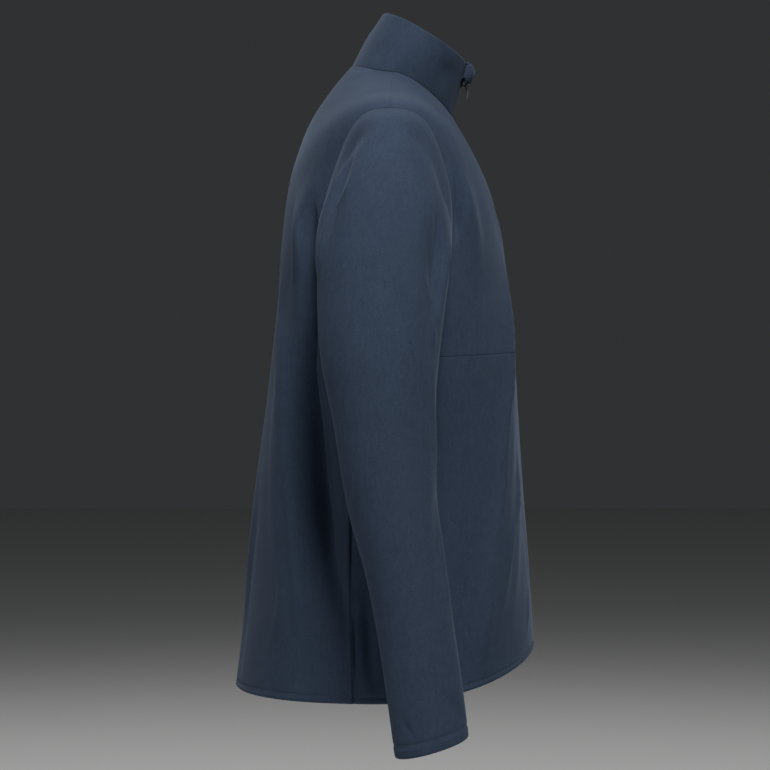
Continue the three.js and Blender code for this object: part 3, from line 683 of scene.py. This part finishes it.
# Points at even steps along a smooth row
def evenly(place, pitch):
    t = np.linspace(0, 1, 400)
    points, _ = place(t)
    lengths = np.concatenate([[0], np.cumsum(np.linalg.norm(np.diff(points, axis=0), axis=1))])
    count = max(2, int(lengths[-1] / pitch))
    return place(np.interp(np.linspace(0, lengths[-1], count), lengths, t))


def buildZip():
    total = cut["neckUp"] + cut["collarHeight"] - 1
    made = {}
    for side, sign in (("right", 1), ("left", -1)):
        def tape(s, t):
            x = sign * mix(0.15, zipSizes["tapeHalf"], s)
            along = mix(0.5, total, t)
            return zipPlace(x, along, tapeFace(along))

        edge = [(0, 0)]
        made[f"tape_{side}"] = clothSheet(f"zip_tape_cloth_{side}", tape, spread(8), spread(230),
                                          edge, edge, edge, edge, zipSizes["tapeThickness"])

        def coilLine(t):
            along = mix(2 + sign * zipSizes["pitch"] / 4, total - 24 + sign * zipSizes["pitch"] / 4, t)
            out = tapeFace(along) + zipSizes["coilHeight"]
            return zipPlace(np.full_like(along, sign * zipSizes["coilMiddle"]), along, out)

        loop = bmesh.new()
        wire = zipSizes["wire"] * mm
        start = Matrix.Translation((0, zipSizes["coilReach"] * mm - wire, 0)) @ Matrix.Rotation(math.pi / 2, 4, "Y")
        ring = bmesh.ops.create_circle(loop, segments=5, radius=wire, matrix=start)["verts"]
        edges = list({edge for vert in ring for edge in vert.link_edges})
        bmesh.ops.spin(loop, geom=ring + edges, cent=(0, 0, 0), axis=(1, 0, 0), angle=2 * math.pi,
                       steps=10, use_merge=True)
        flatten = (zipSizes["coilHeight"]) / zipSizes["coilReach"]
        bmesh.ops.scale(loop, vec=(1, 1, flatten), verts=loop.verts[:])
        bmesh.ops.recalc_face_normals(loop, faces=loop.faces[:])
        made[f"coil_{side}"] = repeated(f"zip_coil_{side}", loop, framesFor(*evenly(coilLine, zipSizes["pitch"])))
    return made


zipParts = buildZip()
print("zip tapes and coil made")

thread = {"pitch": 3.2, "length": 2.5, "radius": 0.28, "above": 0.12}


# A row of stitches along a line on the cloth
def stitchRow(name, place):
    bm = bmesh.new()
    bmesh.ops.create_uvsphere(bm, u_segments=6, v_segments=4, radius=thread["radius"] * mm,
                              matrix=Matrix.Rotation(math.pi / 2, 4, "Y"))
    bmesh.ops.scale(bm, vec=(thread["length"] / 2 / thread["radius"], 1, 0.8), verts=bm.verts[:])
    points, outward = evenly(place, thread["pitch"])
    return repeated(name, bm, framesFor(points + outward * thread["above"], outward))


def buildStitches():
    made = {}
    for side, leftSide in (("right", False), ("left", True)):
        def hemLine(t):
            up = np.full_like(t, hem["stitchUp"])
            start = zipEdgeAngle(bodyRings, up[:1])[0] * 2
            angle = mix(start, math.pi, t)
            return bodyPlace(2 * math.pi - angle if leftSide else angle, up)

        def cuffLine(t):
            down = np.full_like(t, cut["sleeveLength"] - cuff["stitchUp"])
            points, outward = sleevePlace(2 * math.pi * t, down, leftSide)
            mirror = (-1 if leftSide else 1, 1, 1)
            return points * mirror, outward * mirror

        def frontLine(t):
            up = mix(3, cut["neckUp"] - 2, t)
            angle = np.arcsin(frontStitch["fromZip"] / rowAt(bodyRings, "up", up)["width"])
            return bodyPlace(2 * math.pi - angle if leftSide else angle, up)

        def collarLine(t):
            up = mix(3, cut["collarHeight"] - 3, t)
            angle = np.arcsin(frontStitch["fromZip"] / rowAt(collarRings, "up", up)["width"])
            return collarPlace(2 * math.pi - angle if leftSide else angle, up)

        for line, place in (("hem", hemLine), ("cuff", cuffLine), ("front", frontLine), ("collar", collarLine)):
            made[f"{line}_{side}"] = stitchRow(f"{line}_stitches_{side}", place)
    return made


stitches = buildStitches()
print("stitches made")

garage = {"halfWidth": 14, "lowUp": 48.5, "wall": 1.7, "mouthDepth": 8.4, "fullDepth": 10.6, "topDepth": 3.4,
          "peak": 0.4}


# The folded cover over the zip's top end: turn runs over it from side to side, rise from its mouth up
def garagePlace(s, t):
    def surface(turn, rise):
        along = cut["neckUp"] + mix(garage["lowUp"], cut["collarHeight"] - 0.5, rise)
        peak = garage["peak"]
        low = rise < peak
        past = np.where(low, 1 - rise / peak, (rise - peak) / (1 - peak))
        start = np.where(low, garage["mouthDepth"], garage["topDepth"])
        depth = mix(start, garage["fullDepth"], np.sqrt(np.clip(1 - past * past, 0, 1)))
        return zipPlace(garage["halfWidth"] * np.cos(turn), along, cut["seamGap"] + depth * np.sin(turn))[0]

    turn, rise = np.broadcast_arrays(math.pi * (0.002 + 0.996 * s), 0.002 + 0.996 * t)
    across = surface(turn + 0.01, rise) - surface(turn - 0.01, rise)
    along = surface(turn, np.minimum(rise + 0.01, 1)) - surface(turn, np.maximum(rise - 0.01, 0))
    outward = np.cross(along, across)
    return surface(turn, rise), outward / np.linalg.norm(outward, axis=-1, keepdims=True)


roundEdge = seamEdge(0.9, 0.6)
garageCloth = clothSheet("zip_garage_cloth", garagePlace, spread(44), spread(26), roundEdge, roundEdge,
                         roundEdge, roundEdge, garage["wall"])

slider = {"length": 13, "topWidth": 10.8, "lowWidth": 9.6, "plateBase": -0.2, "plateTop": 1.5, "corner": 1.4,
          "bevel": 0.45, "skirt": 1.7, "skirtWidth": 1.3, "bridgeWidth": 2.4, "bridgeLength": 7.6,
          "strap": 1.1, "clearance": 0.5}
pull = {"y": -74.7, "z": 8, "length": 20.5, "width": 6.6, "thickness": 1.6, "bow": 2.4, "ringWidth": 6,
        "ringHole": 3.6, "ringHoleLow": 5.4, "pin": 1.2, "bevel": 0.3}


# The slider lies on the collar's straight front line, at the height of the pull tab's pivot
def sliderFrame():
    foot = Vector((collarRings["frontY"][0], collarRings["frontZ"][0]))
    tip = Vector((collarRings["frontY"][-1], collarRings["frontZ"][-1]))
    line = (tip - foot).normalized()
    pivot = Vector((pull["y"], pull["z"]))
    middle = foot + line * (pivot - foot).dot(line)
    out = Vector((-line.y, line.x))
    columns = (Vector((1, 0, 0)), Vector((0, line.x, line.y)), Vector((0, out.x, out.y)))
    frame = Matrix(columns).transposed().to_4x4()
    frame.translation = Vector((0, middle.x, middle.y)) * mm
    return frame, (pivot - foot).dot(out)


def bevelAll(bm, width, segments=2, sharpest=30):
    edges = [edge for edge in bm.edges if edge.is_manifold and edge.calc_face_angle(0) > sharpest * degree]
    bmesh.ops.bevel(bm, geom=edges, offset=width * mm, offset_type="OFFSET", segments=segments, profile=0.5,
                    affect="EDGES", material=-1, clamp_overlap=True)


def buildSlider():
    frame, pivotOut = sliderFrame()
    top = slider["length"] / 2
    low, wide, corner = slider["lowWidth"] / 2, slider["topWidth"] / 2, slider["corner"]
    half = [(low - corner, -top), (low, corner - top), (wide, top - 2.4), (wide - 2.4, top)]
    outline = half + [(-x, y) for x, y in reversed(half)]
    bm = bmesh.new()
    base = slider["plateBase"]
    face = bm.faces.new([bm.verts.new((x * mm, y * mm, base * mm)) for x, y in outline])
    lifted = bmesh.ops.extrude_face_region(bm, geom=[face])["geom"]
    bmesh.ops.translate(bm, vec=(0, 0, (slider["plateTop"] - base) * mm),
                        verts=[part for part in lifted if isinstance(part, bmesh.types.BMVert)])
    for sign in (-1, 1):
        width, depth = slider["skirtWidth"], slider["skirt"]
        middle = Matrix.Translation((sign * (3.5 + width / 2) * mm, 0, (base - depth / 2) * mm))
        size = Matrix.Diagonal((width * mm, (slider["length"] - 5) * mm, depth * mm, 1))
        bmesh.ops.create_cube(bm, size=1, matrix=middle @ size)
    bmesh.ops.recalc_face_normals(bm, faces=bm.faces[:])
    bevelAll(bm, slider["bevel"])

    # The bridge is a strap that rises from the plate, turns over the pull tab's pin and comes down again
    outer = pivotOut + pull["pin"] / 2 + slider["clearance"] + slider["strap"]
    reach, strap, bend = slider["bridgeLength"] / 2, slider["strap"], 1.9
    across = slider["bridgeWidth"] / 2
    foot = slider["plateTop"] - 0.4
    strapBm = bmesh.new()
    corners = [(-across, -reach), (across, -reach), (across, strap - reach), (-across, strap - reach)]
    end = strapBm.faces.new([strapBm.verts.new((x * mm, y * mm, foot * mm)) for x, y in corners])

    def carry(face, move):
        moved = bmesh.ops.extrude_discrete_faces(strapBm, faces=[face])["faces"][0]
        bmesh.ops.translate(strapBm, vec=Vector(move) * mm, verts=moved.verts[:])
        return moved

    def turn(face, centre):
        last = bmesh.ops.spin(strapBm, geom=[face], cent=Vector(centre) * mm, axis=(1, 0, 0), angle=-math.pi / 2,
                              steps=5)["geom_last"]
        return next(part for part in last if isinstance(part, bmesh.types.BMFace))

    end = carry(end, (0, 0, outer - bend - foot))
    end = turn(end, (0, bend - reach, outer - bend))
    end = carry(end, (0, 2 * (reach - bend), 0))
    end = turn(end, (0, reach - bend, outer - bend))
    carry(end, (0, 0, foot - outer + bend))
    bmesh.ops.remove_doubles(strapBm, verts=strapBm.verts[:], dist=1e-6)
    bmesh.ops.recalc_face_normals(strapBm, faces=strapBm.faces[:])
    bevelAll(strapBm, 0.25, 2, 50)
    bridge = bpy.data.meshes.new("bridge")
    strapBm.to_mesh(bridge)
    strapBm.free()
    bm.from_mesh(bridge)
    bpy.data.meshes.remove(bridge)
    bmesh.ops.transform(bm, matrix=frame, verts=bm.verts[:])
    return finishedPiece("zip_slider", bm)


# A flat ring and a rounded tongue below it, slightly bowed to the front
def buildPullTab():
    length, half, ringHalf, hole = pull["length"], pull["width"] / 2, pull["ringWidth"] / 2, pull["ringHole"] / 2
    rows = [(-0.6, ringHalf * 0.8), (0.6, ringHalf), (pull["ringHoleLow"], ringHalf), (6.8, ringHalf), (9, half),
            (12, half), (15, half * 0.98), (17.6, half * 0.93), (19.4, half * 0.78), (length, half * 0.45)]
    bm = bmesh.new()
    bmesh.ops.create_grid(bm, x_segments=3, y_segments=len(rows) - 1, size=1)
    for vert in bm.verts:
        column, row = round((vert.co.x + 1) * 1.5), round((vert.co.y + 1) / 2 * (len(rows) - 1))
        drop, wide = rows[row]
        inner = hole if drop <= pull["ringHoleLow"] else hole * wide / half
        x = (-wide, -min(inner, wide * 0.6), min(inner, wide * 0.6), wide)[column]
        vert.co = (x * mm, 0, -drop * mm)
    middle = [face for face in bm.faces if abs(face.calc_center_median().x) < 1e-6
              and -pull["ringHoleLow"] * mm < face.calc_center_median().z < -0.6 * mm]
    bmesh.ops.delete(bm, geom=middle, context="FACES")
    bmesh.ops.recalc_face_normals(bm, faces=bm.faces[:])
    lifted = bmesh.ops.extrude_face_region(bm, geom=bm.faces[:])["geom"]
    bmesh.ops.translate(bm, vec=(0, -pull["pin"] * mm, 0),
                        verts=[part for part in lifted if isinstance(part, bmesh.types.BMVert)])
    bmesh.ops.translate(bm, vec=(0, pull["pin"] / 2 * mm, 0), verts=bm.verts[:])
    bmesh.ops.recalc_face_normals(bm, faces=bm.faces[:])
    bevelAll(bm, pull["bevel"])
    bmesh.ops.subdivide_edges(bm, edges=[edge for edge in bm.edges if abs((edge.verts[0].co - edge.verts[1].co).z)
                                         > 1.5 * mm], cuts=2, use_grid_fill=True)
    start = pull["ringHole"]
    for vert in bm.verts:
        drop = -vert.co.z / mm
        share = min(1, max(0, (drop - start) / (length - start)))
        thicker = mix(1, pull["thickness"] / pull["pin"], min(1, max(0, (drop - start) / 3)))
        vert.co.y = vert.co.y * thicker - pull["bow"] * math.sin(math.pi * share) * mm
    bmesh.ops.translate(bm, vec=(0, pull["y"] * mm, pull["z"] * mm), verts=bm.verts[:])
    return finishedPiece("zip_pull_tab", bm)


sliderPiece = buildSlider()
pullPiece = buildPullTab()
print("garage, slider and pull tab made")


# A value in a material, with sums that add nodes
class Value:
    def __init__(self, finish, socket):
        self.finish, self.socket = finish, socket

    def __add__(self, other):
        return self.finish.sum("ADD", self, other)

    def __sub__(self, other):
        return self.finish.sum("SUBTRACT", self, other)

    def __rsub__(self, other):
        return self.finish.sum("SUBTRACT", other, self)

    def __mul__(self, other):
        return self.finish.sum("MULTIPLY", self, other)

    def __pow__(self, other):
        return self.finish.sum("POWER", self, other)

    __radd__ = __add__
    __rmul__ = __mul__


class Finish:
    def __init__(self, name, **shader):
        self.material = bpy.data.materials.new(name)
        self.material.use_nodes = True
        self.tree = self.material.node_tree
        self.shader = self.tree.nodes["Principled BSDF"]
        for key, value in shader.items():
            self.shader.inputs[key.replace("_", " ")].default_value = value
        self.place = self.node("ShaderNodeTexCoord", output="Object")

    def node(self, kind, settings=None, inputs=None, output=0):
        made = self.tree.nodes.new(kind)
        for key, value in (settings or {}).items():
            if key == "stops":
                for element, (position, colour) in zip(self.stopsOf(made, len(value)), value):
                    element.position, element.color = position, colour
            else:
                setattr(made, key, value)
        for key, value in (inputs or {}).items():
            if isinstance(value, Value):
                self.tree.links.new(value.socket, made.inputs[key])
            else:
                made.inputs[key].default_value = value
        return Value(self, made.outputs[output])

    def stopsOf(self, ramp, count):
        while len(ramp.color_ramp.elements) < count:
            ramp.color_ramp.elements.new(0.5)
        return ramp.color_ramp.elements

    def sum(self, operation, a, b):
        return self.node("ShaderNodeMath", {"operation": operation}, {0: a, 1: b})

    def noise(self, scale, detail=2, stretch=(1, 1, 1)):
        place = self.node("ShaderNodeMapping", None, {"Vector": self.place, "Scale": stretch})
        return self.node("ShaderNodeTexNoise", None, {"Vector": place, "Scale": scale, "Detail": detail})

    def ramp(self, value, *stops):
        return self.node("ShaderNodeValToRGB", {"stops": stops}, {"Fac": value}, "Color")

    def bump(self, height, strength, distance):
        normal = self.node("ShaderNodeBump", None, {"Height": height, "Strength": strength, "Distance": distance})
        self.feed("Normal", normal)

    def feed(self, key, value):
        self.tree.links.new(value.socket, self.shader.inputs[key])


# Brushed fleece: short nap with soft streaks and a few denser flecks
def fleeceFinish():
    finish = Finish("brushed_fleece", Roughness=0.95, Sheen_Weight=0.08, Sheen_Roughness=0.4,
                    Sheen_Tint=(0.62, 0.74, 1, 1), Specular_IOR_Level=0.2)
    nap = finish.noise(850, 3)
    streaks = finish.noise(240, 2, (1, 1, 0.35))
    mottle = finish.noise(38, 3)
    shade = 0.6 * nap + 0.25 * streaks + 0.15 * mottle
    finish.feed("Base Color", finish.ramp(shade, (0.3, (0.031, 0.040, 0.068, 1)), (0.5, (0.040, 0.053, 0.088, 1)),
                                          (0.72, (0.051, 0.066, 0.107, 1))))
    finish.bump(nap * 0.7 + streaks * 0.3 + mottle * 0.5, 0.35, 0.0007)
    return finish.material


# Woven tape with a fine twill
def tapeFinish():
    finish = Finish("woven_tape", Roughness=0.8, Sheen_Weight=0.15, Sheen_Roughness=0.5)
    twill = finish.node("ShaderNodeTexWave", {"wave_type": "BANDS", "bands_direction": "DIAGONAL"},
                        {"Vector": finish.place, "Scale": 210, "Distortion": 0.4, "Detail": 1}, "Fac")
    fibres = finish.noise(1500, 2)
    finish.feed("Base Color", finish.ramp(0.7 * twill + 0.3 * fibres, (0.2, (0.008, 0.011, 0.018, 1)),
                                          (0.9, (0.024, 0.030, 0.044, 1))))
    finish.bump(twill + fibres * 0.3, 0.5, 0.0003)
    return finish.material


def coilFinish():
    finish = Finish("coil_nylon", Roughness=0.4, Specular_IOR_Level=0.5)
    wear = finish.noise(700, 2)
    finish.feed("Base Color", finish.ramp(wear, (0.3, (0.012, 0.015, 0.022, 1)), (0.8, (0.028, 0.034, 0.046, 1))))
    return finish.material


def threadFinish():
    finish = Finish("stitching_thread", Roughness=0.6, Sheen_Weight=0.3, Sheen_Roughness=0.4)
    twist = finish.noise(2600, 1, (1, 1, 0.4))
    finish.feed("Base Color", finish.ramp(twist, (0.3, (0.030, 0.044, 0.072, 1)), (0.8, (0.070, 0.092, 0.135, 1))))
    finish.bump(twist, 0.4, 0.0001)
    return finish.material


def metalFinish():
    finish = Finish("dark_enamel", Metallic=0.85, Roughness=0.4)
    wear = finish.noise(500, 4)
    finish.feed("Base Color", finish.ramp(wear, (0.35, (0.035, 0.040, 0.050, 1)), (0.75, (0.085, 0.095, 0.110, 1))))
    finish.feed("Roughness", 0.32 + wear * 0.2)
    return finish.material


def pullFinish():
    finish = Finish("moulded_pull", Roughness=0.5)
    grain = finish.noise(1300, 2)
    finish.feed("Base Color", finish.ramp(grain, (0.3, (0.060, 0.080, 0.078, 1)), (0.8, (0.105, 0.130, 0.125, 1))))
    finish.bump(grain, 0.25, 0.0001)
    return finish.material


def putOn(material, piece):
    piece.data.materials.clear()
    piece.data.materials.append(material)


fleeceMaterial, threadMaterial = fleeceFinish(), threadFinish()
tapeMaterial, coilMaterial = tapeFinish(), coilFinish()
for piece in [*panels.values(), garageCloth]:
    putOn(fleeceMaterial, piece)
for piece in stitches.values():
    putOn(threadMaterial, piece)
for name, piece in zipParts.items():
    putOn(tapeMaterial if name.startswith("tape") else coilMaterial, piece)
putOn(metalFinish(), sliderPiece)
putOn(pullFinish(), pullPiece)
print("finishes made")

for piece in [*panels.values(), garageCloth, *stitches.values(), *zipParts.values(), sliderPiece]:
    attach(piece, "jacket")
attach(pullPiece, "pull_tab")
for node, piece in panels.items():
    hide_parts(node)
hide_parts("zip_garage")
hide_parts("slider")
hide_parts("pull_tab")
for side in ("right", "left"):
    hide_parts(f"zip_tape_{side}")


studio = {
    "floorZ": -1.15,
    "floorReach": 14,
    "keyPower": 97,
    "farKeyPower": 22,
    "backSidePower": 10,
    "farSidePower": 10,
    "sky": 0.045,
}


def areaLight(name, place, towards, size, power, colour=(1, 1, 1)):
    data = bpy.data.lights.new(name, "AREA")
    data.shape = "RECTANGLE"
    data.size, data.size_y = size
    data.energy = power
    data.color = colour
    light = bpy.data.objects.new(name, data)
    light.location = place
    light.rotation_euler = (Vector(towards) - Vector(place)).to_track_quat("-Z", "Y").to_euler()
    bpy.context.scene.collection.objects.link(light)


def buildStudio():
    bm = bmesh.new()
    bmesh.ops.create_grid(bm, x_segments=8, y_segments=8, size=studio["floorReach"],
                          matrix=Matrix.Translation((0, 0, studio["floorZ"])))
    floor = finishedPiece("studio_floor", bm)
    putOn(Finish("pale_floor", Base_Color=(0.8, 0.8, 0.79, 1), Roughness=0.9).material, floor)
    world = bpy.data.worlds.new("studio")
    world.use_nodes = True
    background = world.node_tree.nodes["Background"]
    background.inputs["Color"].default_value = (0.82, 0.84, 0.87, 1)
    background.inputs["Strength"].default_value = studio["sky"]
    bpy.context.scene.world = world
    centre = (0, 0, -0.33)
    areaLight("key_light", (-1.8, -0.4, 2.3), centre, (0.8, 0.8), studio["keyPower"])
    areaLight("far_key", (1.9, 0.4, 2.1), centre, (1.2, 1.2), studio["farKeyPower"])
    areaLight("back_side", (-1.5, 2.3, 0.8), centre, (0.9, 1.6), studio["backSidePower"])
    areaLight("back_far", (2.1, 2.0, 1.2), centre, (1.2, 1.6), studio["farSidePower"])
    areaLight("front_far", (2.1, -2.0, 1.2), centre, (1.2, 1.6), studio["farSidePower"])


camera = {"x": -3.0, "y": 0.0185, "z": -0.341, "lens": 121.2}


def buildCamera():
    data = bpy.data.cameras.new("photo_camera")
    data.lens = camera["lens"]
    data.sensor_width = 36
    seen = bpy.data.objects.new("photo_camera", data)
    seen.location = (camera["x"], camera["y"], camera["z"])
    seen.rotation_euler = (math.pi / 2, 0, -math.pi / 2)
    bpy.context.scene.collection.objects.link(seen)
    bpy.context.scene.camera = seen


buildStudio()
buildCamera()
print("studio and camera made")
